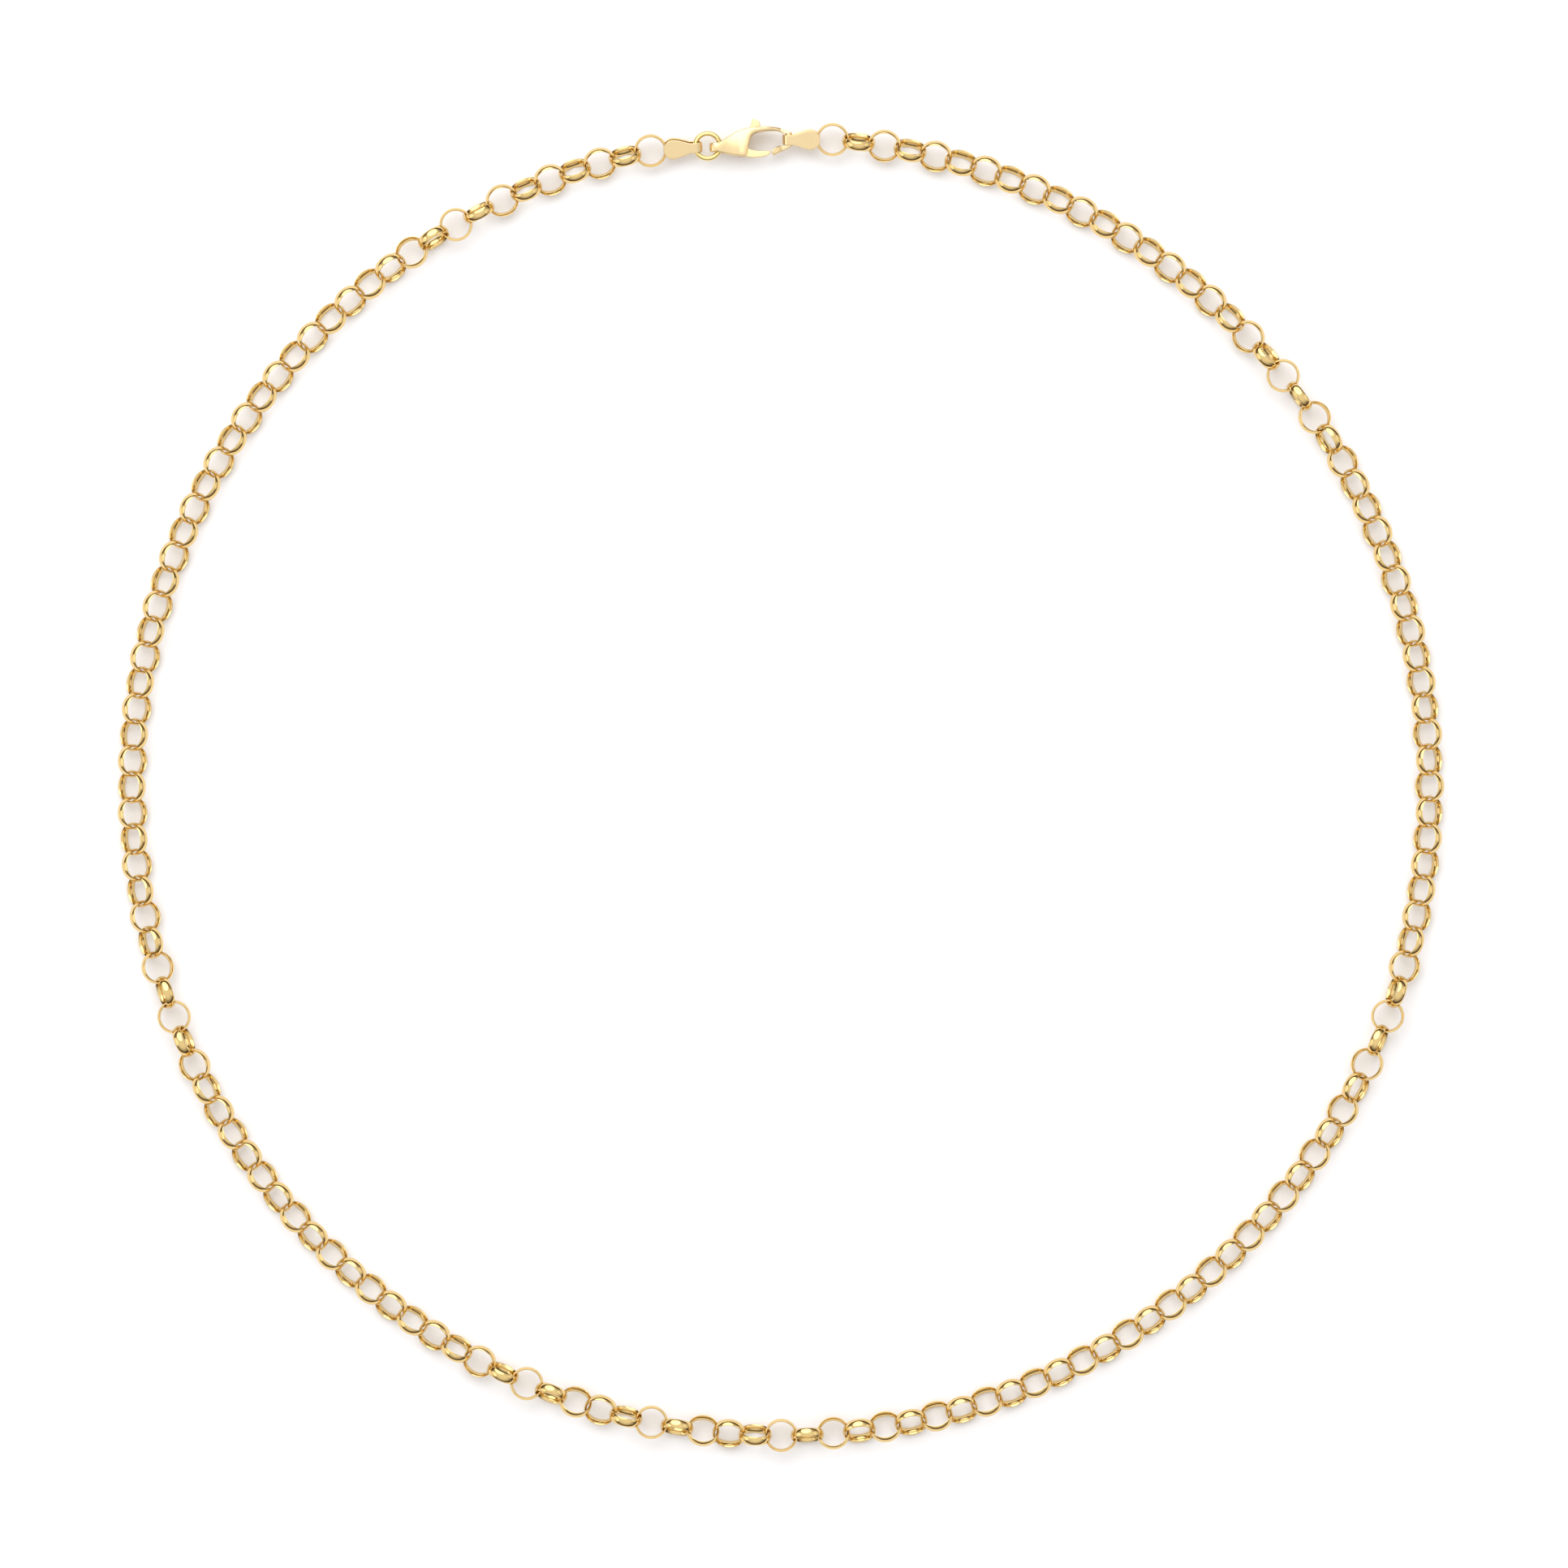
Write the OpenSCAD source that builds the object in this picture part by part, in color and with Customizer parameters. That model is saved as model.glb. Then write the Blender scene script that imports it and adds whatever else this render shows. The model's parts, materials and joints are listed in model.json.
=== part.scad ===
// Round belcher chain necklace, closed by a lobster clasp and laid flat in a ring.
// The origin is on the table at the centre of the ring, +Z is up, and the clasp lies at +Y.
// Links are numbered clockwise as seen from above, from the end ring on the right of the clasp.

/* [Chain] */
// Distance between the centres of two neighbouring links
pitch = 2.93; // [2.9:0.01:2.93]
// Outer diameter of a link
link_od = 3.77; // [3.75:0.01:3.85]
// Inner diameter of a link, measured at the crown of its inner face
link_id = 3.05; // [3.05:0.01:3.1]
// Width of the domed wire, along the link's axis
wire_width = 1.05; // [0.9:0.05:1.05]
// How much lower the outer face is at the wire's edges than at its middle
outer_crown = 0.15; // [0.1:0.01:0.16]
// How much further out the inner face is at the wire's edges than at its middle
inner_crown = 0.185; // [0.15:0.005:0.185]

/* [Lie of the chain] */
// Tilt of every link from the table, to one side and the other in turn
link_tilt = 44; // [43:0.5:46]
// Random-looking part of the tilt
tilt_wobble = 1.5; // [0:0.5:2]
// Number of links over which a quarter turn of the chain spreads
turn_spread = 1.6; // [1.5:0.1:2.5]
// Furthest that a link hangs below its neighbour
link_sag = 0.12; // [0.05:0.01:0.15]
// Height of the clasp's centre line above the table
clasp_height = 1.7; // [1.65:0.01:1.75]

/* [End tags and jump ring] */
// Thickness of the tag's strip
tag_thickness = 0.22; // [0.15:0.01:0.25]
// Width of the tag where it is folded
tag_neck_width = 1.14; // [1:0.02:1.2]
// Width of the tag's paddle
tag_paddle_width = 2.2; // [1.8:0.1:2.4]
// Outer diameter of the jump ring
jump_od = 3.35; // [3.3:0.01:3.4]
// Diameter of the jump ring's wire
jump_wire = 0.56; // [0.5:0.02:0.58]

/* [Clasp] */
// Thickness of the clasp body at its middle
clasp_thickness = 2.5; // [2.2:0.1:2.6]
// Diameter of the round part of the hook, which the tag hangs on
hook_wire = 0.72; // [0.6:0.02:0.76]
// Thickness of the lever
lever_thickness = 0.56; // [0.5:0.02:0.6]
// Gap on each face of the lever
lever_gap = 0.06; // [0.05:0.01:0.1]
// Diameter of the lever's pin
pin_diameter = 0.5; // [0.4:0.02:0.56]

/* [Hidden] */
$fn = 48;
gold = "#E3B75C";
pale_gold = "#F0D59B";
steel = "#9A9A98";

links = 150;
pitches = 156;
front_half = 4;
section_links = 4;
sections = 8;
side_links = 6;
step = 360 / pitches;
loop_r = pitch / (2 * sin(step / 2));

ro = link_od / 2;
ri = link_id / 2;
half_w = wire_width / 2;

// Where the chain takes a quarter turn as it lies: link number, and which way
quarter_turns = [[20.8, 1], [46, -1], [76, 1], [81, 1], [86, 1], [106, -1], [141, -1]];
// The end rings lie nearly flat, and that extra twist fades over the next links
end_twist = [34, 30];
end_twist_fade = [3, 1.8];

// Each tag: centre of its fold on the clasp line, turn of its length from +X, and length past the fold
fold_r = half_w + 0.005;
right_fold = [5.35, 0.15];
right_tag_turn = -3.1;
right_tag_length = 3.5;
left_fold = [-5.14, -0.02];
left_tag_turn = 180.9;
left_tag_length = 3.63;
tag_neck_length = 0.6;

// Centres of the clasp's parts along its centre line, left to right
line_y = loop_r * cos(3 * step) - 0.05;
jump_x = -3.8;
eye_from = -2.85;
eye_to = -2.305;
eye_r = 0.75;
eye_length = 1.0;
arm_x = right_fold[0];
arm_from = -0.6;
arm_to = 0.9;
pivot = [0, -0.75];
slot_half = lever_thickness / 2 + lever_gap;

function side_name(side) = side > 0 ? "right" : "left";

// ---- How the chain lies -----------------------------------------------------------------

// Twist of the chain about its own line at link k
function twist(k) =
    sum([for (t = quarter_turns) t[1] * 90 / (1 + exp(-(k - t[0]) / turn_spread))])
    + end_twist[0] * exp(-k / end_twist_fade[0])
    + end_twist[1] * exp(-(links - 1 - k) / end_twist_fade[1]);

function sum(v) = [for (x = v) 1] * v;

// Tilt of link k from the table
function tilt(k) =
    twist(k) + (k % 2 == 0 ? -1 : 1) * (link_tilt + tilt_wobble * sin(137.5 * k));

// Height of a link's centre when it stands on the table at this tilt
function standing(a) = max(
    ro * abs(sin(a)),
    (ro - 0.04) * abs(sin(a)) + 0.3 * abs(cos(a)),
    (ro - outer_crown) * abs(sin(a)) + half_w * abs(cos(a))
);

// Height of link k, which may hang between links that stand higher
function height(k) =
    k == 0 || k == links - 1
    ? clasp_height
    : max([for (j = [max(1, k - 3):min(links - 2, k + 3)]) standing(tilt(j)) - link_sag * abs(j - k)]);

// Number of the link at place i, counted from the front centre on one side
function link_at(side, i) = side > 0 ? links / 2 - 1 - i : links / 2 + i;

// ---- Links ------------------------------------------------------------------------------

// Section of the domed wire: a slim lens with its two edges cut square
module wire_section() {
    outer_r = (half_w * half_w + outer_crown * outer_crown) / (2 * outer_crown);
    inner_r = (half_w * half_w + inner_crown * inner_crown) / (2 * inner_crown);
    intersection() {
        translate([ro - outer_r, 0]) circle(outer_r);
        translate([ri + inner_r, 0]) circle(inner_r);
        translate([ri - 0.1, -half_w]) square([ro - ri + 0.2, wire_width]);
    }
}

module link() {
    rotate_extrude() wire_section();
}

module placed_link(k) {
    rotate([0, 0, -(k + (pitches - links + 1) / 2) * step])
        translate([0, loop_r, height(k)])
            rotate([-tilt(k), 0, 0])
                link();
}

// The links from place a to place b, counted from the front centre on one side
module run_of_links(side, a, b) {
    color(gold)
        for (i = [a:b])
            placed_link(link_at(side, i));
}

module front_links() {
    run_of_links(1, 0, front_half - 1);
    run_of_links(-1, 0, front_half - 1);
}

// Chain sections 1 to 8 lie in front of the side links, and 9 to 16 behind them
module chain_section(side, i) {
    first = front_half + (i - 1) * section_links + (i > sections ? side_links : 0);
    run_of_links(side, first, first + section_links - 1);
}

module side_link(side, i) {
    place = front_half + sections * section_links + i - 1;
    run_of_links(side, place, place);
}

module end_ring(side) {
    run_of_links(side, links / 2 - 1, links / 2 - 1);
}

// ---- Clasp line -------------------------------------------------------------------------

module on_clasp_line() {
    translate([0, line_y, clasp_height]) children();
}

// A strip folded in two round the origin, its two leaves running along +X to a paddle each
module tag(length) {
    paddle_r = tag_paddle_width / 2;
    neck_r = tag_neck_width / 2;
    paddle_x = length - paddle_r;
    outer_r = fold_r + tag_thickness;
    intersection() {
        rotate([90, 0, 0])
            linear_extrude(tag_paddle_width + 1, center = true)
                difference() {
                    union() {
                        circle(outer_r);
                        translate([0, -outer_r]) square([length + 1, 2 * outer_r]);
                    }
                    circle(fold_r);
                    translate([0, -fold_r]) square([length + 2, 2 * fold_r]);
                }
        linear_extrude(4 * outer_r, center = true) {
            translate([paddle_x, 0]) circle(paddle_r);
            polygon([
                [-outer_r, -neck_r],
                [tag_neck_length, -neck_r],
                [paddle_x - 0.3, -0.96 * paddle_r],
                [paddle_x, -paddle_r],
                [paddle_x, paddle_r],
                [paddle_x - 0.3, 0.96 * paddle_r],
                [tag_neck_length, neck_r],
                [-outer_r, neck_r]
            ]);
        }
    }
}

module right_tag() {
    color(pale_gold)
        on_clasp_line()
            translate(right_fold)
                rotate([0, 0, right_tag_turn])
                    rotate([-tilt(0), 0, 0])
                        tag(right_tag_length);
}

module left_tag() {
    color(pale_gold)
        on_clasp_line()
            translate(left_fold)
                rotate([0, 0, left_tag_turn])
                    rotate([tilt(links - 1) - 180, 0, 0])
                        tag(left_tag_length);
}

module jump_ring() {
    color(gold)
        on_clasp_line()
            translate([jump_x, 0, 0])
                rotate_extrude()
                    translate([(jump_od - jump_wire) / 2, 0]) circle(jump_wire / 2);
}

// ---- Clasp ------------------------------------------------------------------------------

// Points along a cubic curve from a to d, without its last point
function curve(a, b, c, d, n = 8) = [
    for (i = [0:n - 1])
        let (t = i / n, u = 1 - t)
            u * u * u * a + 3 * u * u * t * b + 3 * u * t * t * c + t * t * t * d
];

// The clasp seen from above: a teardrop, the arch over the opening, and the hook's return
module clasp_outline() {
    polygon(concat(
        curve([-3, -0.2], [-2.9, 0.15], [-2.5, 0.3], [-2, 0.55]),
        curve([-2, 0.55], [-1, 1.05], [-0.3, 1.65], [1.2, 1.72]),
        curve([1.2, 1.72], [2.6, 1.78], [4.2, 1.75], [5.1, 1.2]),
        curve([5.1, 1.2], [6, 0.75], [6.2, 0], [5.65, -0.55]),
        curve([5.65, -0.55], [5.1, -0.95], [4.3, -1.15], [3.5, -1.55]),
        [[3.5, -1.55]],
        curve([3.3, -1.15], [3.4, -0.8], [3.95, -0.55], [4.75, -0.3]),
        curve([4.75, -0.3], [5, -0.1], [5, 0.6], [4.55, 1]),
        curve([4.55, 1], [4.1, 1.35], [2.2, 1.3], [1.6, 1.08]),
        curve([1.6, 1.08], [0.85, 0.8], [0.85, -0.3], [0.6, -0.9]),
        [[0.6, -0.9]],
        curve([0.35, -1.45], [-0.8, -1.4], [-2, -1], [-2.6, -0.75]),
        curve([-2.6, -0.75], [-2.9, -0.65], [-3, -0.4], [-3, -0.2])
    ));
}

// The clasp seen from the side: full in the middle, slimmer at the eye and the hook
module clasp_profile() {
    full = clasp_thickness / 2;
    slim = hook_wire / 2;
    upper = concat(
        curve([-3.2, 0.74], [-2.2, 0.76], [-1.6, full], [0, full]),
        curve([0, full], [3.0, full], [3.6, 1.0], [4.5, slim]),
        [[4.5, slim], [6.5, slim]]
    );
    polygon(concat(upper, [for (i = [len(upper) - 1:-1:0]) [upper[i][0], -upper[i][1]]]));
}

// The space between the clasp's two cheeks, which the lever and its spring work in
module lever_slot() {
    linear_extrude(2 * slot_half, center = true)
        polygon([
            [-1.3, -0.7], [-1.3, 0.3], [-0.45, 0.7], [-0.25, 3],
            [1.9, 3], [1.9, -3], [-0.3, -3], [-0.5, -1]
        ]);
}

// The eye is a tunnel along Y, longer than it is high, so that the jump ring can turn in it
module eye_outline(r) {
    translate([eye_from, 0]) circle(r);
    translate([eye_to, 0]) circle(r);
    translate([eye_from, -r]) square([eye_to - eye_from, 2 * r]);
}

module clasp_body() {
    color(pale_gold)
        on_clasp_line()
            difference() {
                union() {
                    difference() {
                        intersection() {
                            linear_extrude(clasp_thickness + 1, center = true) clasp_outline();
                            rotate([90, 0, 0])
                                linear_extrude(6, center = true) clasp_profile();
                        }
                        translate([4.3, arm_from + 0.05, -1])
                            cube([2, arm_to - arm_from - 0.1, 2]);
                    }
                    translate([arm_x, arm_from, 0])
                        rotate([-90, 0, 0])
                            cylinder(h = arm_to - arm_from, d = hook_wire);
                    translate([0, 0.3, 0])
                        rotate([90, 0, 0])
                            linear_extrude(eye_length) eye_outline(eye_r);
                }
                translate([0, 2, 0])
                    rotate([90, 0, 0])
                        linear_extrude(4) eye_outline(jump_wire / 2 + 0.15);
                lever_slot();
                translate([pivot[0], pivot[1], -2]) cylinder(h = 4, d = pin_diameter);
            }
}

// Gate, arm and thumb tab in one piece
module clasp_lever() {
    color(pale_gold)
        on_clasp_line()
            difference() {
                linear_extrude(lever_thickness, center = true)
                    polygon(concat(
                        curve([0.1, -1.35], [0.8, -1.72], [2.2, -1.75], [3, -1.4]),
                        [[3, -1.4], [3.18, -1.25], [3.18, -0.98]],
                        [[2.2, -0.93], [1.2, -0.78], [0.6, -0.45], [0.65, 0.3]],
                        [[1, 0.95], [1.55, 1.3], [1.7, 1.78]],
                        curve([2.15, 1.8], [2.4, 2.15], [2.1, 2.5], [1.65, 2.73]),
                        [[1.65, 2.73], [1.4, 2.72]],
                        curve([1.3, 2.5], [1.15, 1.7], [0.5, 0.7], [-0.3, -0.4]),
                        curve([-0.3, -0.4], [-0.5, -0.8], [-0.3, -1.15], [0.1, -1.35])
                    ));
                translate([pivot[0], pivot[1], -2]) cylinder(h = 4, d = pin_diameter + 0.1);
            }
}

module lever_pin() {
    color(gold)
        on_clasp_line()
            translate([pivot[0], pivot[1], -clasp_thickness / 2])
                cylinder(h = clasp_thickness, d = pin_diameter);
}

// A bent strip that pushes the back of the lever
module lever_spring() {
    color(steel)
        on_clasp_line()
            linear_extrude(0.4, center = true)
                polygon([
                    [-1.28, -0.6], [-1.16, -0.6], [-1.1, -0.02], [-0.55, -0.42],
                    [-0.48, -0.33], [-1.06, 0.16], [-1.28, 0.2]
                ]);
}

// ---- Assembly ---------------------------------------------------------------------------

front_links();

for (side = [1, -1])
    for (i = [1:2 * sections])
        chain_section(side, i);

for (side = [1, -1])
    for (i = [1:side_links])
        side_link(side, i);

for (side = [1, -1])
    end_ring(side);

right_tag();
left_tag();
jump_ring();
clasp_body();
clasp_lever();
lever_pin();
lever_spring();
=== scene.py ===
"""Chain necklace: a round belcher chain with soldered end tags, a jump ring and a lobster clasp."""
import json
import math

import bmesh
import bpy
import numpy as np
from mathutils import Matrix, Vector


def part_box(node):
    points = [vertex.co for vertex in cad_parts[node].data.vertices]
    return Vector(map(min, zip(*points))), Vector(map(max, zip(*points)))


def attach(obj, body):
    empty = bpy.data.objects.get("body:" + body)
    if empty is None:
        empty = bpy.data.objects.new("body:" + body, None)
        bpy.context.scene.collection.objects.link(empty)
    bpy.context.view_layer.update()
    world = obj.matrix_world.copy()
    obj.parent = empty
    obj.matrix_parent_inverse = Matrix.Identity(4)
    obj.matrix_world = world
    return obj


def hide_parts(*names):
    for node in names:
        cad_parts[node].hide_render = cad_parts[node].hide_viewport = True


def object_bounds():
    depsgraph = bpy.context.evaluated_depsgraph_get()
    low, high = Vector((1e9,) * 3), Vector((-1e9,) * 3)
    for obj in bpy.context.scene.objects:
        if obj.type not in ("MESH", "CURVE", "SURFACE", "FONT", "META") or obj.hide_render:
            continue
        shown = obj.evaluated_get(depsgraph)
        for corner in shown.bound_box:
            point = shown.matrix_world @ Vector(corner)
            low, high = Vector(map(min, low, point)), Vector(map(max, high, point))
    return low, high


bl_info = {
    "name": "Belcher chain necklace",
    "version": (1, 0, 0),
    "blender": (4, 5, 0),
    "location": "View3D > Sidebar > Necklace",
    "description": "Builds a round-link chain necklace with a lobster clasp around its frame",
    "category": "Add Mesh",
}

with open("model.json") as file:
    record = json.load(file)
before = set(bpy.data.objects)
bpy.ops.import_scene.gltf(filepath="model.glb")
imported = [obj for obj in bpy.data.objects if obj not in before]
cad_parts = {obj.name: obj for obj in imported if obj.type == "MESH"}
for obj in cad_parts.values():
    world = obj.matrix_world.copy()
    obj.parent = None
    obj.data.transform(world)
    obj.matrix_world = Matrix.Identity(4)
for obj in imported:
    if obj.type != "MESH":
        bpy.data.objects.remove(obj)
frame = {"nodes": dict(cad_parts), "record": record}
CAD_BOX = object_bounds()
NODES = frame["nodes"]
BODY_OF = {node: body for body, nodes in frame["record"]["behaviour"]["bodies"].items() for node in nodes}
MM = 0.001

# The middle of the clasp line, from the lever's pin, which stands 0.75 mm in front of it
PIN_LOW, PIN_HIGH = (Vector(corner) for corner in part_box("lever_pin"))
PIN_TO_LINE = 0.75 * MM
CLASP_AT = (PIN_LOW + PIN_HIGH) / 2 + Vector((0, PIN_TO_LINE, 0))
CLASP_HALF = (PIN_HIGH.z - PIN_LOW.z) / 2


# ---- Sizes and colours a user would change ----------------------------------------------

class NecklaceSizes(bpy.types.PropertyGroup):
    link_steps: bpy.props.IntProperty(
        name="Link steps", description="Steps round each link", default=52, min=16, max=128)
    wire_steps: bpy.props.IntProperty(
        name="Wire steps", description="Steps across each face of a link's wire", default=6, min=3, max=16)
    rim_round: bpy.props.FloatProperty(
        name="Rim rounding", description="How far a link's rims are rounded by tumbling",
        default=0.035 * MM, unit="LENGTH")
    tag_rim: bpy.props.FloatProperty(
        name="Tag rim", description="Rounding of the end tags' edges", default=0.05 * MM, unit="LENGTH")
    lever_rim: bpy.props.FloatProperty(
        name="Lever rim", description="Rounding of the lever's edges", default=0.09 * MM, unit="LENGTH")
    picture_width: bpy.props.FloatProperty(
        name="Picture width", description="Width of the table that the camera sees",
        default=175.8 * MM, unit="LENGTH")
    camera_roll: bpy.props.FloatProperty(
        name="Camera roll", description="Turn of the camera about its own line of sight",
        default=math.radians(-3.5), subtype="ANGLE")
    camera_lens: bpy.props.FloatProperty(
        name="Lens", description="Focal length in millimetres", default=200.0)


def colour_property(label, about, hex_text):
    return bpy.props.StringProperty(name=label, description=about, default=hex_text)


class NecklaceColours(bpy.types.PropertyGroup):
    link_gold: colour_property("Link gold", "Colour of the polished links", "EACB8A")
    ring_gold: colour_property("Ring gold", "Colour of the jump ring", "F0D68C")
    clasp_gold: colour_property("Clasp gold", "Colour of the clasp and tags", "F3D9A6")
    spring_steel: colour_property("Spring steel", "Colour of the lever spring", "B4B4AE")
    floor: colour_property("Floor", "Colour of the table", "FCFCFE")
    room: colour_property("Room", "Colour of the room at the height of the table", "47301A")


def sizes():
    return bpy.context.scene.necklace_sizes


def colours():
    return bpy.context.scene.necklace_colours


# ---- Materials --------------------------------------------------------------------------

def linear(hex_text):
    """An sRGB hex colour as linear red, green, blue and alpha."""
    channels = [int(hex_text[i:i + 2], 16) / 255 for i in (0, 2, 4)]
    return [c / 12.92 if c <= 0.04045 else ((c + 0.055) / 1.055) ** 2.4 for c in channels] + [1.0]


def add_node(tree, kind, inputs=None, **settings):
    """Adds a node with its settings; a socket given as an input is linked, and a value is set."""
    made = tree.nodes.new(kind)
    for name, value in settings.items():
        setattr(made, name, value)
    for socket, value in (inputs or {}).items():
        if isinstance(value, bpy.types.NodeSocket):
            tree.links.new(value, made.inputs[socket])
        else:
            made.inputs[socket].default_value = value
    return made


def new_material(name):
    material = bpy.data.materials.get(name)
    if material is None:
        material = bpy.data.materials.new(name)
        material.use_nodes = True
        material.node_tree.nodes.clear()
        return material, True
    return material, False


# How dark the deeper patches of a worked surface are, beside its own colour
DEEP_TONE = 0.93


def gold(name, hex_text, rough_low, rough_high, mottle_mm, line_mm, line_depth_mm, stretch=(1, 1, 1)):
    """A worked gold surface: its own colour, patches that are polished more or less, and fine wear lines."""
    material, fresh = new_material(name)
    if not fresh:
        return material
    tree = material.node_tree
    where = add_node(tree, "ShaderNodeTexCoord").outputs["Object"]
    in_mm = add_node(tree, "ShaderNodeMapping", {"Vector": where, "Scale": [1 / MM] * 3}).outputs["Vector"]
    drawn = add_node(tree, "ShaderNodeMapping", {"Vector": in_mm, "Scale": stretch}).outputs["Vector"]
    mottle = add_node(
        tree, "ShaderNodeTexNoise",
        {"Vector": in_mm, "Scale": 1 / mottle_mm, "Detail": 3.0, "Roughness": 0.55}).outputs["Fac"]
    lines = add_node(
        tree, "ShaderNodeTexNoise",
        {"Vector": drawn, "Scale": 1 / line_mm, "Detail": 2.0, "Roughness": 0.6}).outputs["Fac"]
    rough = add_node(
        tree, "ShaderNodeMapRange",
        {"Value": mottle, "From Min": 0.3, "From Max": 0.7, "To Min": rough_low, "To Max": rough_high})
    deep = [c * DEEP_TONE for c in linear(hex_text)[:3]] + [1.0]
    tone = add_node(
        tree, "ShaderNodeMix", {"Factor": mottle, "A": deep, "B": linear(hex_text)}, data_type="RGBA")
    bump = add_node(
        tree, "ShaderNodeBump", {"Height": lines, "Strength": 0.5, "Distance": line_depth_mm * MM})
    shader = add_node(
        tree, "ShaderNodeBsdfPrincipled",
        {"Metallic": 1.0, "Roughness": rough.outputs["Result"], "Normal": bump.outputs["Normal"]})
    tree.links.new(tone.outputs["Result"], shader.inputs["Base Color"])
    add_node(tree, "ShaderNodeOutputMaterial", {"Surface": shader.outputs["BSDF"]})
    return material


def tumbled_gold():
    # 9 carat yellow gold, drawn, coiled, soldered and barrel tumbled: a bright, even polish
    return gold("tumbled_yellow_gold", colours().link_gold, 0.08, 0.14, 1.6, 0.05, 0.0004)


def drawn_wire_gold():
    # Yellow gold drawn as round wire, a little greener, polished bright
    return gold("drawn_yellow_gold_wire", colours().ring_gold, 0.07, 0.12, 1.2, 0.05, 0.0004)


def lapped_gold():
    # Paler gold, cast and lapped flat: a soft, nearly satin sheen on its faces
    return gold("lapped_pale_gold", colours().clasp_gold, 0.20, 0.27, 2.2, 0.04, 0.0007, (0.25, 1.0, 1.0))


def spring_steel():
    # Rolled stainless spring strip: grey with fine rolling lines along its length
    return gold("rolled_spring_steel", colours().spring_steel, 0.25, 0.35, 0.8, 0.03, 0.0006, (0.2, 1, 1))


def painted_floor():
    # Matt coated card: pale and without gloss
    material, fresh = new_material("matt_white_card")
    if fresh:
        tree = material.node_tree
        shader = add_node(
            tree, "ShaderNodeBsdfPrincipled",
            {"Base Color": linear(colours().floor), "Roughness": 0.9, "Specular IOR Level": 0.1})
        add_node(tree, "ShaderNodeOutputMaterial", {"Surface": shader.outputs["BSDF"]})
    return material


# ---- Making a piece ---------------------------------------------------------------------

def finish_piece(bm, name, material, nodes, recalculate=True):
    """Turns a bmesh into a piece that stands for CAD nodes and rides on their body."""
    if recalculate:
        bmesh.ops.recalc_face_normals(bm, faces=bm.faces)
    mesh = bpy.data.meshes.new(name)
    bm.to_mesh(mesh)
    bm.free()
    mesh.materials.append(material)
    mesh.polygons.foreach_set("use_smooth", [True] * len(mesh.polygons))
    piece = bpy.data.objects.new(name, mesh)
    bpy.context.scene.collection.objects.link(piece)
    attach(piece, BODY_OF[nodes[0]])
    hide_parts(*nodes)
    return piece


def curve_points(a, b, c, d, steps=12):
    """Points along a cubic curve from a to d, without its last point, in millimetres."""
    points = []
    for i in range(steps):
        t = i / steps
        u = 1 - t
        points.append(tuple(
            u ** 3 * a[n] + 3 * u * u * t * b[n] + 3 * u * t * t * c[n] + t ** 3 * d[n] for n in (0, 1)))
    return points


def arc(centre, radius, low, high, steps):
    """Points of a wire's section on a circle, from height low to height high."""
    span = [math.asin(max(-1.0, min(1.0, z / abs(radius)))) for z in (low, high)]
    angles = [span[0] + (span[1] - span[0]) * i / (steps - 1) for i in range(steps)]
    return [(centre + radius * math.cos(a), abs(radius) * math.sin(a)) for a in angles]


# ---- Chain links ------------------------------------------------------------------------

# How far the wire's domed faces stand above their rims, outside and inside the link
OUTER_CROWN = 0.15 * MM
INNER_CROWN = 0.185 * MM
# Corners of a CAD mesh closer than this are one
MERGE_WITHIN = 1e-7


def ring_islands(node):
    """The separate rings of a CAD node: each one's centre, axis, outer and inner radius and half width."""
    bm = bmesh.new()
    bm.from_mesh(NODES[node].data)
    bmesh.ops.remove_doubles(bm, verts=bm.verts, dist=MERGE_WITHIN)
    waiting, rings = set(bm.verts), []
    while waiting:
        reached = [waiting.pop()]
        island = list(reached)
        while reached:
            for edge in reached.pop().link_edges:
                for vert in edge.verts:
                    if vert in waiting:
                        waiting.discard(vert)
                        reached.append(vert)
                        island.append(vert)
        rings.append(measure_ring(island))
    bm.free()
    return rings


def measure_ring(verts):
    """A ring's centre, axis, outer radius, inner radius and half width, from its own faces."""
    faces = {face for vert in verts for face in vert.link_faces}
    areas = np.array([face.calc_area() for face in faces])
    middles = np.array([face.calc_center_median() for face in faces])
    centre = (areas[:, None] * middles).sum(0) / areas.sum()
    spread = (areas[:, None, None] * np.einsum("ni,nj->nij", middles - centre, middles - centre)).sum(0)
    axis = np.linalg.eigh(spread)[1][:, 0]
    offsets = np.array([vert.co for vert in verts]) - centre
    along = offsets @ axis
    out = np.linalg.norm(offsets - np.outer(along, axis), axis=1)
    return Vector(centre), Vector(axis), float(out.max()), float(out.min()), float(np.abs(along).max())


def wire_outline(outer, inner, half_width):
    """The domed wire's section as points (radius, height), with tumbled rims."""
    round_by = sizes().rim_round
    steps = sizes().wire_steps
    outer_r = (half_width ** 2 + OUTER_CROWN ** 2) / (2 * OUTER_CROWN)
    inner_r = (half_width ** 2 + INNER_CROWN ** 2) / (2 * INNER_CROWN)
    reach = half_width - round_by
    outside = arc(outer - outer_r, outer_r, -reach, reach, steps + 1)
    inside = [(r, -z) for r, z in arc(inner + inner_r, -inner_r, -reach, reach, steps - 1)]
    rim = (outside[-1][0] + inside[0][0]) / 2
    return outside + [(rim, half_width)] + inside + [(rim, -half_width)]


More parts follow.
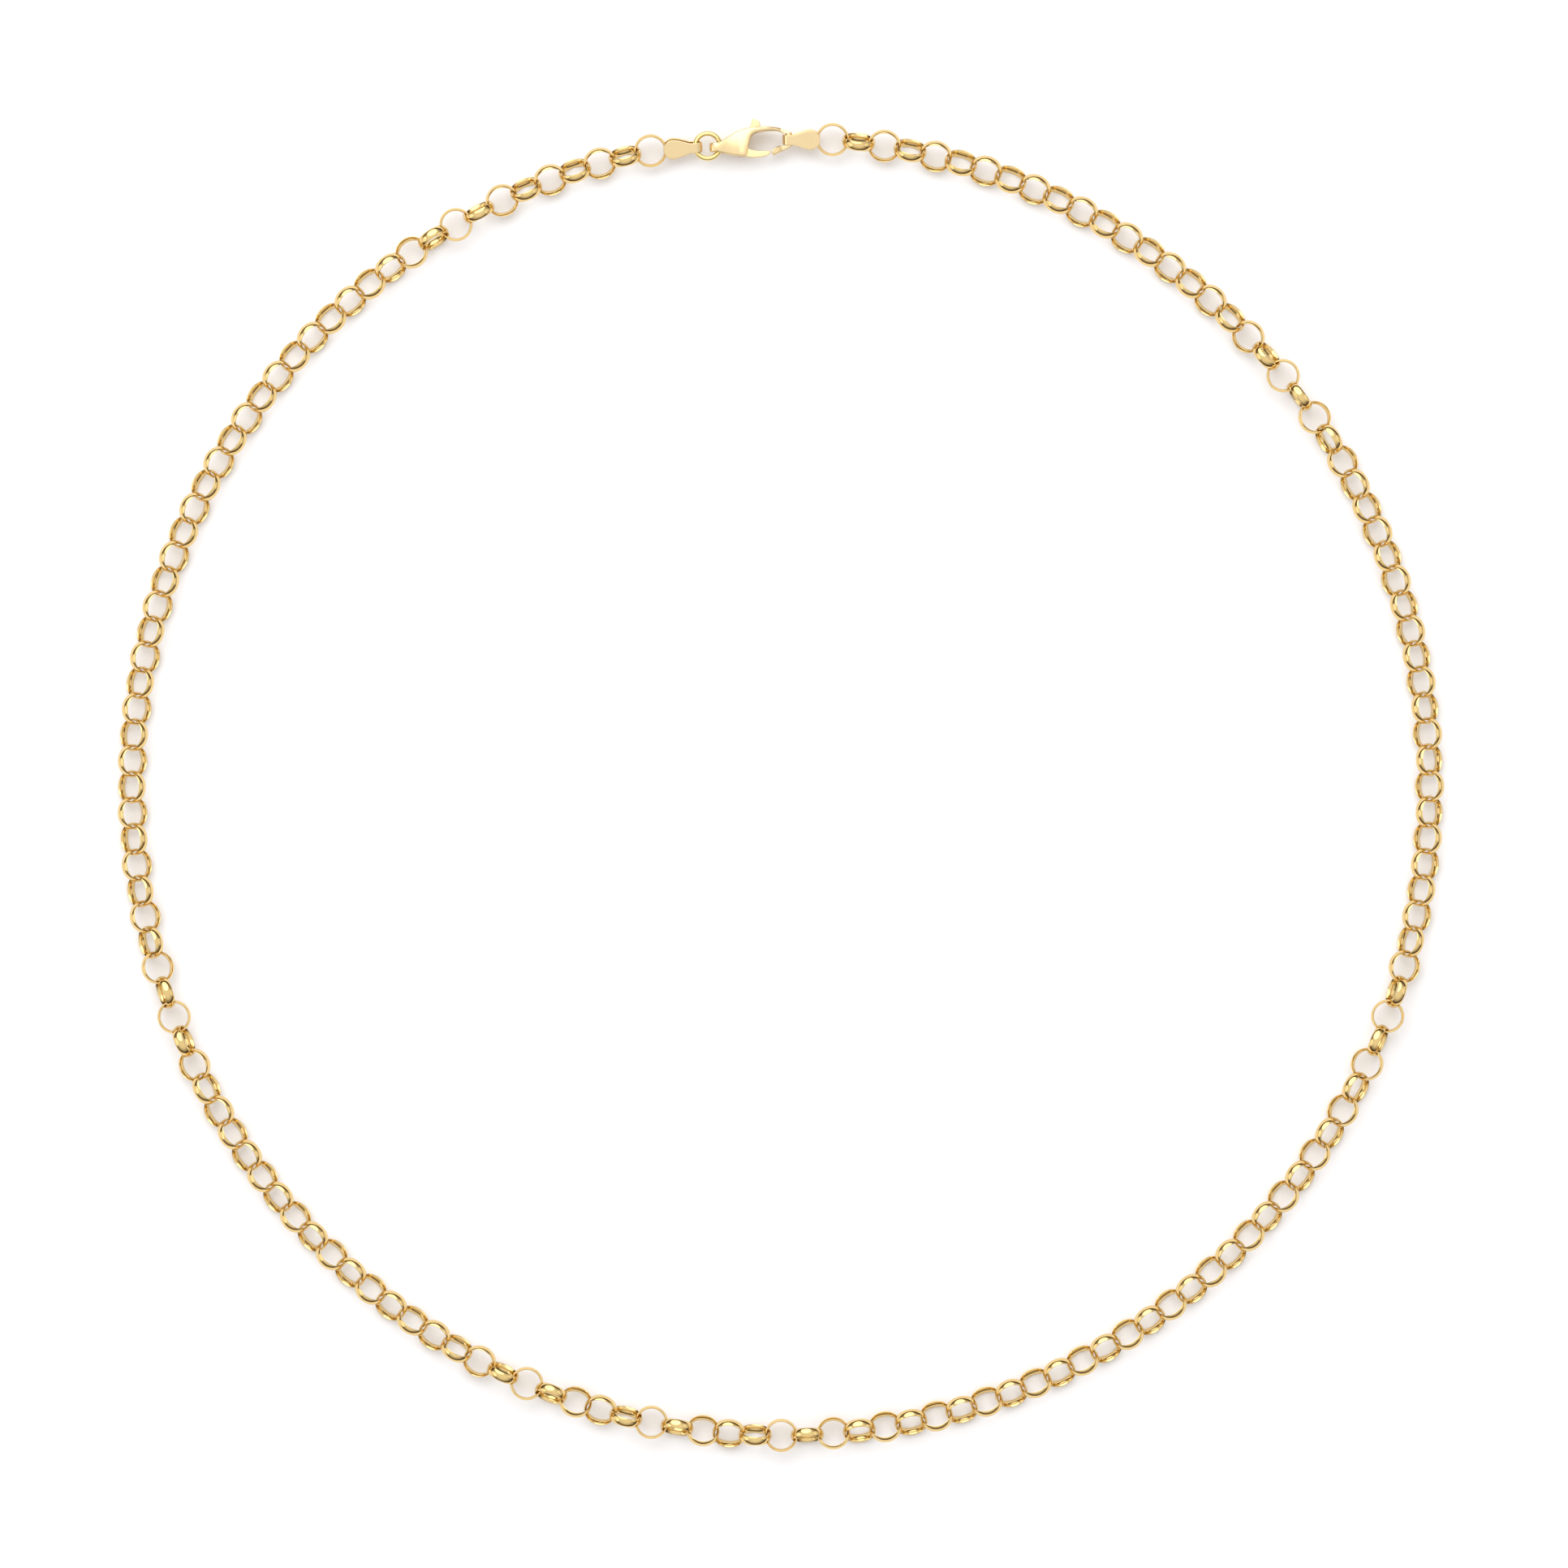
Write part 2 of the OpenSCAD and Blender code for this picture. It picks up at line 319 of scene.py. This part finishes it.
def spun(bm, outline, steps, place):
    """Spins a closed section of (radius, height) points a full turn and puts the ring in its place."""
    before = set(bm.verts)
    verts = [bm.verts.new((radius, 0, height)) for radius, height in outline]
    edges = [bm.edges.new((verts[i], verts[(i + 1) % len(verts)])) for i in range(len(verts))]
    bmesh.ops.spin(
        bm, geom=verts + edges, cent=(0, 0, 0), axis=(0, 0, 1), angle=2 * math.pi,
        steps=steps, use_merge=True)
    made = [vert for vert in bm.verts if vert not in before]
    bmesh.ops.transform(bm, matrix=place, verts=made)


def standing_at(centre, axis):
    return Matrix.Translation(centre) @ axis.to_track_quat("Z", "X").to_matrix().to_4x4()


def make_links(node):
    """All the links of one CAD node, as one piece."""
    bm = bmesh.new()
    for centre, axis, outer, inner, half_width in ring_islands(node):
        outline = wire_outline(outer, inner, half_width)
        spun(bm, outline, sizes().link_steps, standing_at(centre, axis))
    finish_piece(bm, node + "_gold", tumbled_gold(), [node])


# ---- End tags ---------------------------------------------------------------------------

# In millimetres: how far the neck runs from the fold, half the neck's and the paddle's width, the
# radius of the fold at the middle of the strip, and the strip's thickness
TAG_NECK_TO = 0.6
TAG_NECK_HALF = 0.565
TAG_PADDLE_HALF = 1.095
TAG_MIDDLE_R = 0.64
TAG_THICKNESS = 0.2
# Each tag's fold from the middle of the clasp line, the way it points, and its length
RIGHT_FOLD, RIGHT_TURN, RIGHT_LENGTH = (5.35, 0.15, 0), math.radians(-3.1), 3.5
LEFT_FOLD, LEFT_TURN, LEFT_LENGTH = (-5.14, -0.02, 0), math.radians(180.9), 3.63


def tag_width(along, length):
    """Half the strip's width at a distance from the fold: a neck that flares into a round paddle."""
    centre = length - TAG_PADDLE_HALF
    if along >= centre:
        return math.sqrt(max(0.0, TAG_PADDLE_HALF ** 2 - (along - centre) ** 2))
    rise = min(1.0, max(0.0, (along - TAG_NECK_TO) / (centre - TAG_NECK_TO)))
    eased = 1.25 * rise - 0.25 * rise ** 5 if rise < 1 else 1.0
    return TAG_NECK_HALF + (TAG_PADDLE_HALF - TAG_NECK_HALF) * eased


def tag_strip(length):
    """A strip folded in two round the origin, in millimetres: a grid bent over, then given its thickness."""
    leaf_steps, fold_steps, across = 26, 12, 8
    rows = 2 * leaf_steps + fold_steps
    bm = bmesh.new()
    bmesh.ops.create_grid(bm, x_segments=rows, y_segments=across, size=0.5)
    for vert in bm.verts:
        step = round((vert.co.x + 0.5) * rows)
        side = vert.co.y * 2
        from_fold = max(leaf_steps - step, step - leaf_steps - fold_steps)
        if from_fold >= 0:
            along = (length - 0.004) * math.sin(from_fold / leaf_steps * math.pi / 2)
            height = TAG_MIDDLE_R if step <= leaf_steps else -TAG_MIDDLE_R
            vert.co = (along, side * tag_width(along, length), height)
        else:
            angle = math.pi / 2 + math.pi * (step - leaf_steps) / fold_steps
            vert.co = (TAG_MIDDLE_R * math.cos(angle), side * TAG_NECK_HALF, TAG_MIDDLE_R * math.sin(angle))
    bmesh.ops.recalc_face_normals(bm, faces=bm.faces)
    for vert in bm.verts:
        outward = Vector((min(0.0, vert.co.x), 0, vert.co.z)).normalized()
        vert.co += outward * TAG_THICKNESS / 2
    if max(bm.faces, key=lambda face: face.calc_center_median().z).normal.z < 0:
        bmesh.ops.reverse_faces(bm, faces=bm.faces)
    bmesh.ops.solidify(bm, geom=bm.verts[:] + bm.edges[:] + bm.faces[:], thickness=TAG_THICKNESS)
    bmesh.ops.recalc_face_normals(bm, faces=bm.faces)
    return rounded(bm, sizes().tag_rim / MM, 3, 60)


def make_tag(node, ring, fold_at, heading, length):
    """The tag that holds an end ring between its leaves, at the same roll as the ring."""
    axis = Matrix.Rotation(-heading, 3, "Z") @ ring_islands(ring)[0][1]
    if axis.z < 0:
        axis.negate()
    place = (
        Matrix.Translation(CLASP_AT + Vector(fold_at) * MM)
        @ Matrix.Rotation(heading, 4, "Z")
        @ Matrix.Rotation(math.atan2(-axis.y, axis.z), 4, "X")
        @ Matrix.Scale(MM, 4))
    bm = tag_strip(length)
    bmesh.ops.transform(bm, matrix=place, verts=bm.verts)
    crisp(finish_piece(bm, node + "_strip", lapped_gold(), [node]))


def make_end_tags():
    make_tag("right_tag", "right_end_ring", RIGHT_FOLD, RIGHT_TURN, RIGHT_LENGTH)
    make_tag("left_tag", "left_end_ring", LEFT_FOLD, LEFT_TURN, LEFT_LENGTH)


# ---- Clasp ------------------------------------------------------------------------------

# The clasp's outer edge from the eye over the top to the hook's tip, as cubic curves
CLASP_OUTER = [
    [(-3, -0.2), (-2.9, 0.15), (-2.5, 0.3), (-2, 0.55)],
    [(-2, 0.55), (-1, 1.05), (-0.3, 1.65), (1.2, 1.72)],
    [(1.2, 1.72), (2.6, 1.78), (4.2, 1.75), (5.1, 1.2)],
    [(5.1, 1.2), (6, 0.75), (6.2, 0), (5.65, -0.55)],
    [(5.65, -0.55), (5.1, -0.95), (4.3, -1.15), (3.5, -1.55)],
]
# Its other edge from the eye under the body, up the opening, round it and out to the tip
CLASP_INNER = [
    [(-3, -0.2), (-3, -0.4), (-2.9, -0.65), (-2.6, -0.75)],
    [(-2.6, -0.75), (-2, -1), (-0.8, -1.4), (0.35, -1.45)],
    [(0.35, -1.45), (0.5, -1.4), (0.55, -1.15), (0.6, -0.9)],
    [(0.6, -0.9), (0.85, -0.3), (0.85, 0.8), (1.6, 1.08)],
    [(1.6, 1.08), (2.2, 1.3), (4.1, 1.35), (4.55, 1)],
    [(4.55, 1), (5, 0.6), (5, -0.1), (4.75, -0.3)],
    [(4.75, -0.3), (3.95, -0.55), (3.4, -0.8), (3.3, -1.15)],
]


def clasp_outline():
    points = [point for curve in CLASP_OUTER for point in curve_points(*curve)] + [CLASP_OUTER[-1][3]]
    inner = [point for curve in CLASP_INNER for point in curve_points(*curve)] + [CLASP_INNER[-1][3]]
    return points + inner[:0:-1]


def clasp_thickness(x):
    """Half the body's thickness: full in the middle, slimmer at the eye and at the hook."""
    full = CLASP_HALF / MM
    profile = (
        curve_points((-3.2, 0.74), (-2.2, 0.76), (-1.6, full), (0, full), 80)
        + curve_points((0, full), (3.0, full), (3.6, 1.0), (4.5, HOOK_HALF), 80)
        + [(4.5, HOOK_HALF), (6.5, HOOK_HALF)])
    return float(np.interp(x, *zip(*profile)))


def prism(outline, low, high):
    """A flat shape, given as its edge in millimetres, raised from height low to height high."""
    bm = bmesh.new()
    face = bm.faces.new([bm.verts.new((x, y, low)) for x, y in outline])
    raised = bmesh.ops.extrude_face_region(bm, geom=[face])["geom"]
    bmesh.ops.translate(
        bm, vec=(0, 0, high - low), verts=[part for part in raised if isinstance(part, bmesh.types.BMVert)])
    bmesh.ops.recalc_face_normals(bm, faces=bm.faces)
    return bm


def rounded(bm, offset, segments, least_angle=50.0):
    """Rounds the edges that are sharper than an angle in degrees."""
    sharp = [
        edge for edge in bm.edges
        if edge.is_manifold and edge.calc_face_angle() > math.radians(least_angle)
    ]
    bmesh.ops.bevel(
        bm, geom=sharp, offset=offset, offset_type="OFFSET", segments=segments, profile=0.5,
        affect="EDGES", clamp_overlap=False, material=-1)
    return bm


def rims(bm):
    """The edges between a flat face, above or below, and a wall."""
    return [
        edge for edge in bm.edges
        if edge.is_manifold and sum(abs(face.normal.z) > 0.7 for face in edge.link_faces) == 1
    ]


def softened(bm, offset, segments):
    bmesh.ops.bevel(
        bm, geom=rims(bm), offset=offset, offset_type="OFFSET", segments=segments, profile=0.5,
        affect="EDGES", clamp_overlap=False, material=-1)
    return bm


def stadium(x_low, x_high, radius, steps=12):
    """A long round-ended hole's edge as (x, z) points."""
    right = [(-math.pi / 2 + math.pi * i / steps) for i in range(steps + 1)]
    left = [(math.pi / 2 + math.pi * i / steps) for i in range(steps + 1)]
    return (
        [(x_high + radius * math.cos(a), radius * math.sin(a)) for a in right]
        + [(x_low + radius * math.cos(a), radius * math.sin(a)) for a in left])


def across_y(bm, y_high):
    """Turns a prism that rises along Z so that it runs down Y from y_high."""
    bmesh.ops.transform(
        bm, matrix=Matrix.Translation((0, y_high, 0)) @ Matrix.Rotation(math.radians(90), 4, "X"),
        verts=bm.verts)
    return bm


def round_bar(x, y_low, y_high, radius):
    bm = bmesh.new()
    bmesh.ops.create_cone(
        bm, cap_ends=True, segments=32, radius1=radius, radius2=radius, depth=y_high - y_low,
        matrix=Matrix.Translation((x, (y_low + y_high) / 2, 0)) @ Matrix.Rotation(math.radians(90), 4, "X"))
    return bm


# Steps round the pin and round the holes for it
BORE_STEPS = 40


def upright_bar(x, y, half_height, radius):
    """A round bar along Z, turned by half a step so that none of its edges lies on the body's strips."""
    half_step = Matrix.Rotation(math.pi / BORE_STEPS, 4, "Z")
    bm = bmesh.new()
    bmesh.ops.create_cone(
        bm, cap_ends=True, segments=BORE_STEPS, radius1=radius, radius2=radius, depth=2 * half_height,
        matrix=Matrix.Translation((x, y, 0)) @ half_step)
    return bm


def as_solid(bm, name):
    mesh = bpy.data.meshes.new(name)
    bm.to_mesh(mesh)
    bm.free()
    solid = bpy.data.objects.new(name, mesh)
    bpy.context.scene.collection.objects.link(solid)
    return solid


def combined(base, steps):
    """Joins to a solid, or cuts from it, each (operation, solid) in turn."""
    body = as_solid(base, "combining")
    tools = []
    for operation, bm in steps:
        tools.append(as_solid(bm, "combining_tool"))
        step = body.modifiers.new(operation.lower(), "BOOLEAN")
        step.operation = operation
        step.solver = "EXACT"
        step.object = tools[-1]
    bpy.context.view_layer.update()
    evaluated = body.evaluated_get(bpy.context.evaluated_depsgraph_get())
    result = bmesh.new()
    result.from_mesh(evaluated.to_mesh())
    evaluated.to_mesh_clear()
    for solid in [body] + tools:
        mesh = solid.data
        bpy.data.objects.remove(solid)
        bpy.data.meshes.remove(mesh)
    return result


def on_clasp_line(bm):
    """Brings a clasp part from millimetres about the clasp's middle to its place."""
    bmesh.ops.transform(bm, matrix=Matrix.Translation(CLASP_AT) @ Matrix.Scale(MM, 4), verts=bm.verts)
    return bm


def crisp(piece, angle=32.0):
    """Keeps edges above an angle sharp, and lets the large faces stay flat beside rounded ones."""
    piece.data.set_sharp_from_angle(angle=math.radians(angle))
    weighted = piece.modifiers.new("flat_faces", "WEIGHTED_NORMAL")
    weighted.keep_sharp = True
    return piece


# In millimetres from the middle of the clasp line
PIVOT = (0.0, -PIN_TO_LINE / MM)
PIN_R = 0.25
PIN_BORE_R = 0.252
LEVER_BORE_R = 0.3
CASTING_RIM = 0.16
STRIP_WIDTH = 0.1
CLASP_FROM, CLASP_TO = -3.0, 6.2
HOOK_HALF = 0.36
ARM_X, ARM_FROM, ARM_TO, ARM_R = 5.35, -0.6, 0.96, 0.352
ARM_CUT = [(4.3, -0.55), (6.3, -0.55), (6.3, 0.89), (4.3, 0.89)]
SLOT_HALF = 0.34
SLOT = [(-1.3, -0.7), (-1.3, 0.3), (-0.45, 0.7), (-0.25, 3), (1.9, 3), (1.9, -3), (-0.3, -3), (-0.5, -1)]
LEVER_HALF = 0.28
EYE_FROM, EYE_TO = -2.85, -2.305
EYE_R, EYE_HOLE_R, EYE_LENGTH, EYE_TOP = 0.75, 0.43, 1.0, 0.3
SPRING_HALF = 0.2


def clasp_casting():
    """The body before it is drilled and slotted: a flat shape with rounded rims, thinned in strips."""
    body = softened(prism(clasp_outline(), -1.0, 1.0), CASTING_RIM, 5)
    for i in range(1, round((CLASP_TO - CLASP_FROM) / STRIP_WIDTH)):
        bmesh.ops.bisect_plane(
            body, geom=body.verts[:] + body.edges[:] + body.faces[:],
            plane_co=(CLASP_FROM + STRIP_WIDTH * i, 0, 0), plane_no=(1, 0, 0), dist=0.001)
    for vert in body.verts:
        vert.co.z *= clasp_thickness(vert.co.x)
    return body


def make_clasp_body():
    barrel = prism(stadium(EYE_FROM, EYE_TO, EYE_R), 0.0, EYE_LENGTH)
    tunnel = prism(stadium(EYE_FROM, EYE_TO, EYE_HOLE_R), -2.0, 2.0)
    body = combined(clasp_casting(), [
        ("DIFFERENCE", prism(ARM_CUT, -1.0, 1.0)),
        ("UNION", round_bar(ARM_X, ARM_FROM, ARM_TO, ARM_R)),
        ("UNION", rounded(across_y(barrel, EYE_TOP), 0.1, 3)),
        ("DIFFERENCE", across_y(tunnel, 0.0)),
        ("DIFFERENCE", prism(SLOT, -SLOT_HALF, SLOT_HALF)),
        ("DIFFERENCE", upright_bar(*PIVOT, 2.0, PIN_BORE_R)),
    ])
    crisp(finish_piece(on_clasp_line(body), "clasp_body_cast", lapped_gold(), ["clasp_body"]))


def lever_outline():
    """The lever's edge: under the gate, back along its top, up the arm, round the thumb tab and down."""
    return (
        curve_points((0.1, -1.35), (0.8, -1.72), (2.2, -1.75), (3, -1.4))
        + [(3, -1.4), (3.18, -1.25), (3.18, -0.98), (2.2, -0.93), (1.2, -0.78), (0.6, -0.45), (0.65, 0.3)]
        + [(1, 0.95), (1.55, 1.3), (1.7, 1.78)]
        + curve_points((2.15, 1.8), (2.4, 2.15), (2.1, 2.5), (1.65, 2.73))
        + [(1.65, 2.73), (1.4, 2.72)]
        + curve_points((1.3, 2.5), (1.15, 1.7), (0.5, 0.7), (-0.3, -0.4))
        + curve_points((-0.3, -0.4), (-0.5, -0.8), (-0.3, -1.15), (0.1, -1.35)))


def make_lever():
    lever = softened(prism(lever_outline(), -LEVER_HALF, LEVER_HALF), sizes().lever_rim / MM, 3)
    lever = combined(lever, [("DIFFERENCE", upright_bar(*PIVOT, 1.0, LEVER_BORE_R))])
    crisp(finish_piece(on_clasp_line(lever), "clasp_lever_cast", lapped_gold(), ["clasp_lever"]))


def make_pin():
    pin = upright_bar(*PIVOT, CLASP_HALF / MM, PIN_R)
    softened(pin, 0.008, 1)
    crisp(finish_piece(on_clasp_line(pin), "lever_pin_drawn", lapped_gold(), ["lever_pin"]))


def make_spring():
    strip = prism(
        [(-1.28, -0.6), (-1.16, -0.6), (-1.1, -0.02), (-0.55, -0.42), (-0.48, -0.33), (-1.06, 0.16),
         (-1.28, 0.2)], -SPRING_HALF, SPRING_HALF)
    softened(strip, 0.02, 2)
    crisp(finish_piece(
        on_clasp_line(strip), "lever_spring_strip", spring_steel(), ["lever_spring"]))


# The width of the ring's closed cut, and where round the ring it is
RING_CUT = 0.03 * MM
RING_CUT_AT = math.radians(205)


def make_jump_ring():
    low, high = (Vector(corner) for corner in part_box("jump_ring"))
    centre = (low + high) / 2
    wire = (high.z - low.z) / 2
    middle = (high.x - low.x) / 2 - wire
    gap = RING_CUT / middle
    bm = bmesh.new()
    bmesh.ops.create_circle(
        bm, cap_ends=True, segments=20, radius=wire,
        matrix=Matrix.Translation((middle, 0, 0)) @ Matrix.Rotation(math.radians(90), 4, "X"))
    bmesh.ops.spin(
        bm, geom=bm.verts[:] + bm.edges[:] + bm.faces[:], cent=(0, 0, 0), axis=(0, 0, 1),
        angle=2 * math.pi - gap, steps=96)
    bmesh.ops.holes_fill(bm, edges=[edge for edge in bm.edges if edge.is_boundary], sides=0)
    bmesh.ops.recalc_face_normals(bm, faces=bm.faces)
    rounded(bm, 0.02 * MM, 2, 60)
    bmesh.ops.transform(
        bm, matrix=Matrix.Translation(centre) @ Matrix.Rotation(RING_CUT_AT, 4, "Z"), verts=bm.verts)
    crisp(finish_piece(bm, "jump_ring_wire", drawn_wire_gold(), ["jump_ring"]))


# ---- Stage ------------------------------------------------------------------------------

# Half the table's side, and where the middle of the picture is, beside the middle of the ring
TABLE_HALF = 1.5
PICTURE_MIDDLE = (0.38 * MM, 0.25 * MM)
# Each soft light's name, place in metres, width in metres and power in watts
SOFTBOXES = [
    ("softbox_back", (-0.12, 0.66, 0.72), 1.3, 6.6),
    ("softbox_left", (-1.0, -0.1, 0.4), 0.9, 2.0),
    ("softbox_right", (1.0, 0.0, 0.4), 0.9, 1.2),
]
# The room goes from dark to white between these heights on the sphere round the table
ROOM_LOW, ROOM_HIGH = 0.08, 0.92
ROOM_STRENGTH = 1.05


def aim(obj, at, target, up):
    """Points an object's -Z at the target, with its +Y towards up."""
    back = (at - target).normalized()
    side = up.cross(back).normalized()
    turned = Matrix((side, back.cross(side), back)).transposed().to_4x4()
    obj.matrix_world = Matrix.Translation(at) @ turned


def add_softbox(name, at, size, power):
    """A round soft light that faces the middle of the table."""
    lamp = bpy.data.lights.new(name, "AREA")
    lamp.shape = "DISK"
    lamp.size = size
    lamp.energy = power
    box = bpy.data.objects.new(name, lamp)
    bpy.context.scene.collection.objects.link(box)
    aim(box, Vector(at), Vector((0, 0, 0)), Vector((0, 1, 0)))


def set_room_light():
    """A studio room: white overhead, falling to a warm dark at the height of the table."""
    world = bpy.data.worlds.new("studio_room")
    world.use_nodes = True
    tree = world.node_tree
    tree.nodes.clear()
    facing = add_node(tree, "ShaderNodeTexCoord").outputs["Generated"]
    up = add_node(tree, "ShaderNodeSeparateXYZ", {"Vector": facing}).outputs["Z"]
    level = add_node(
        tree, "ShaderNodeMapRange",
        {"Value": up, "From Min": ROOM_LOW, "From Max": ROOM_HIGH, "To Min": 0.0, "To Max": 1.0},
        interpolation_type="SMOOTHSTEP").outputs["Result"]
    tone = add_node(
        tree, "ShaderNodeMix", {"Factor": level, "A": linear(colours().room), "B": [1.0] * 4},
        data_type="RGBA").outputs["Result"]
    background = add_node(tree, "ShaderNodeBackground", {"Color": tone, "Strength": ROOM_STRENGTH})
    add_node(tree, "ShaderNodeOutputWorld", {"Surface": background.outputs["Background"]})
    bpy.context.scene.world = world


def make_table():
    bm = bmesh.new()
    floor_at = Matrix.Translation((0, 0, CAD_BOX[0][2]))
    bmesh.ops.create_grid(bm, x_segments=1, y_segments=1, size=TABLE_HALF, matrix=floor_at)
    mesh = bpy.data.meshes.new("table")
    bm.to_mesh(mesh)
    bm.free()
    mesh.materials.append(painted_floor())
    table = bpy.data.objects.new("table", mesh)
    bpy.context.scene.collection.objects.link(table)


def make_camera():
    camera = bpy.data.cameras.new("camera")
    camera.lens = sizes().camera_lens
    camera.clip_start, camera.clip_end = 0.01, 10.0
    far = sizes().picture_width * camera.lens / camera.sensor_width
    held = bpy.data.objects.new("camera", camera)
    bpy.context.scene.collection.objects.link(held)
    middle = Vector((*PICTURE_MIDDLE, CLASP_AT.z))
    roll = sizes().camera_roll
    aim(held, middle + Vector((0, 0, far)), middle, Vector((-math.sin(roll), math.cos(roll), 0)))
    bpy.context.scene.camera = held


def make_stage():
    make_table()
    bpy.context.scene.view_settings.view_transform = "Standard"
    set_room_light()
    for softbox in SOFTBOXES:
        add_softbox(*softbox)
    make_camera()


# ---- Operators, panel and registration --------------------------------------------------

def nodes_named(part):
    return [node for node in sorted(NODES) if part in node]


class NECKLACE_OT_front_links(bpy.types.Operator):
    """Builds the eight links at the front of the necklace"""
    bl_idname = "necklace.front_links"
    bl_label = "Front links"

    def execute(self, context):
        make_links("front_links")
        return {"FINISHED"}


class NECKLACE_OT_chain_sections(bpy.types.Operator):
    """Builds the chain's sections of four links"""
    bl_idname = "necklace.chain_sections"
    bl_label = "Chain sections"

    def execute(self, context):
        for node in nodes_named("_chain_"):
            make_links(node)
        return {"FINISHED"}


class NECKLACE_OT_side_links(bpy.types.Operator):
    """Builds the single links at the sides, where the chain folds"""
    bl_idname = "necklace.side_links"
    bl_label = "Side links"

    def execute(self, context):
        for node in nodes_named("_side_link_"):
            make_links(node)
        return {"FINISHED"}


class NECKLACE_OT_end_rings(bpy.types.Operator):
    """Builds the last link at each end, which holds a tag"""
    bl_idname = "necklace.end_rings"
    bl_label = "End rings"

    def execute(self, context):
        for node in nodes_named("_end_ring"):
            make_links(node)
        return {"FINISHED"}


class NECKLACE_OT_end_tags(bpy.types.Operator):
    """Builds the two folded tags that join the chain to the clasp line"""
    bl_idname = "necklace.end_tags"
    bl_label = "End tags"

    def execute(self, context):
        make_end_tags()
        return {"FINISHED"}


class NECKLACE_OT_jump_ring(bpy.types.Operator):
    """Builds the jump ring of round wire, with its closed cut"""
    bl_idname = "necklace.jump_ring"
    bl_label = "Jump ring"

    def execute(self, context):
        make_jump_ring()
        return {"FINISHED"}


class NECKLACE_OT_clasp_body(bpy.types.Operator):
    """Builds the clasp's cast body with its eye, slot and hook"""
    bl_idname = "necklace.clasp_body"
    bl_label = "Clasp body"

    def execute(self, context):
        make_clasp_body()
        return {"FINISHED"}


class NECKLACE_OT_clasp_lever(bpy.types.Operator):
    """Builds the lever: gate, arm and thumb tab"""
    bl_idname = "necklace.clasp_lever"
    bl_label = "Clasp lever"

    def execute(self, context):
        make_lever()
        return {"FINISHED"}


class NECKLACE_OT_lever_pin(bpy.types.Operator):
    """Builds the pin that the lever turns on"""
    bl_idname = "necklace.lever_pin"
    bl_label = "Lever pin"

    def execute(self, context):
        make_pin()
        return {"FINISHED"}


class NECKLACE_OT_lever_spring(bpy.types.Operator):
    """Builds the strip spring behind the lever"""
    bl_idname = "necklace.lever_spring"
    bl_label = "Lever spring"

    def execute(self, context):
        make_spring()
        return {"FINISHED"}


class NECKLACE_OT_stage(bpy.types.Operator):
    """Sets up the table, the lights and the camera"""
    bl_idname = "necklace.stage"
    bl_label = "Table, lights and camera"

    def execute(self, context):
        make_stage()
        return {"FINISHED"}


OPERATORS = [
    NECKLACE_OT_front_links, NECKLACE_OT_chain_sections, NECKLACE_OT_side_links, NECKLACE_OT_end_rings,
    NECKLACE_OT_end_tags, NECKLACE_OT_jump_ring, NECKLACE_OT_clasp_body, NECKLACE_OT_clasp_lever,
    NECKLACE_OT_lever_pin, NECKLACE_OT_lever_spring, NECKLACE_OT_stage,
]


class NECKLACE_PT_pieces(bpy.types.Panel):
    """Lists the sizes, the colours and the pieces"""
    bl_label = "Necklace"
    bl_space_type = "VIEW_3D"
    bl_region_type = "UI"
    bl_category = "Necklace"

    def draw(self, context):
        for group in (context.scene.necklace_sizes, context.scene.necklace_colours):
            for name in group.bl_rna.properties.keys():
                if name not in ("rna_type", "name"):
                    self.layout.prop(group, name)
        for operator in OPERATORS:
            self.layout.operator(operator.bl_idname)


CLASSES = [NecklaceSizes, NecklaceColours] + OPERATORS + [NECKLACE_PT_pieces]


def register():
    for cls in CLASSES:
        bpy.utils.register_class(cls)
    bpy.types.Scene.necklace_sizes = bpy.props.PointerProperty(type=NecklaceSizes)
    bpy.types.Scene.necklace_colours = bpy.props.PointerProperty(type=NecklaceColours)


def unregister():
    del bpy.types.Scene.necklace_colours
    del bpy.types.Scene.necklace_sizes
    for cls in reversed(CLASSES):
        bpy.utils.unregister_class(cls)


def main():
    register()
    for operator in OPERATORS:
        getattr(bpy.ops.necklace, operator.bl_idname.split(".")[1])()


if __name__ == "__main__":
    main()
